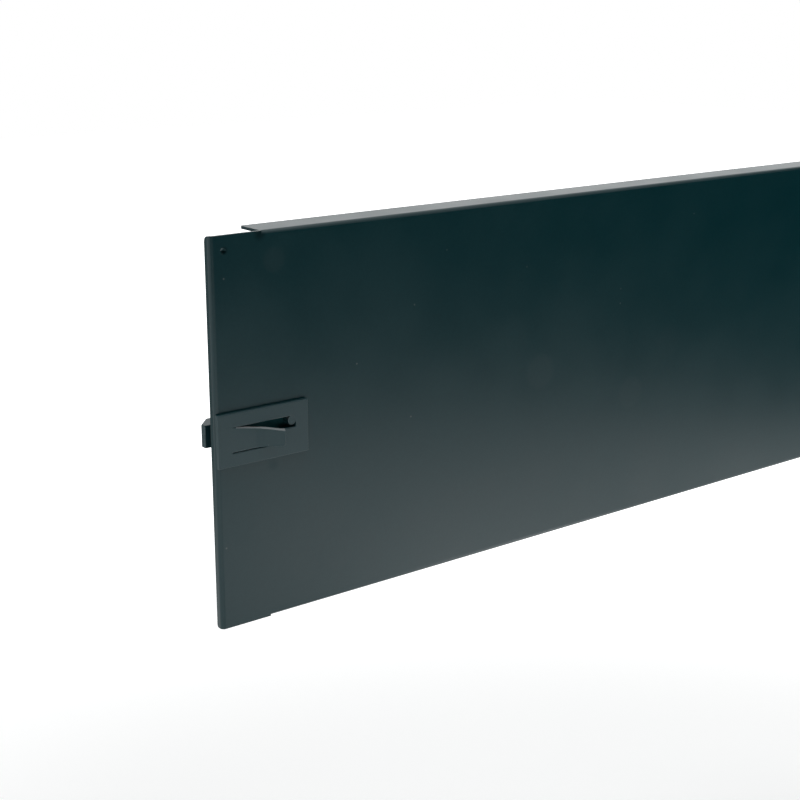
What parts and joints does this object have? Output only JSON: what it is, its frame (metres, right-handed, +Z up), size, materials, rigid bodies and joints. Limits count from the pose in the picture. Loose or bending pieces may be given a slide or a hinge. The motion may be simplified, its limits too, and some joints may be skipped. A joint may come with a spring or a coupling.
{
  "type": "rack blanking panel",
  "caption": "Folded steel rack blanking panel with top and bottom flanges, folded ends and a moulded snap clip with a pull tongue and a rear hook at each end.",
  "frame": {"origin": "centre of the plane where the two folded ends seat on the rack's front rails, at mid-height", "axes": "+X along the width, to the right as seen from the front; +Y to the rear, into the rack; +Z up"},
  "size_m": [0.4826, 0.0202, 0.1326],
  "materials": {
    "powder_coated_sheet": "fine satin powder coat",
    "moulded_clip": "smooth satin moulding"
  },
  "bodies": {
    "root": {"panel_sheet": "powder_coated_sheet", "left_clip": "moulded_clip", "right_clip": "moulded_clip"}
  },
  "joints": []
}
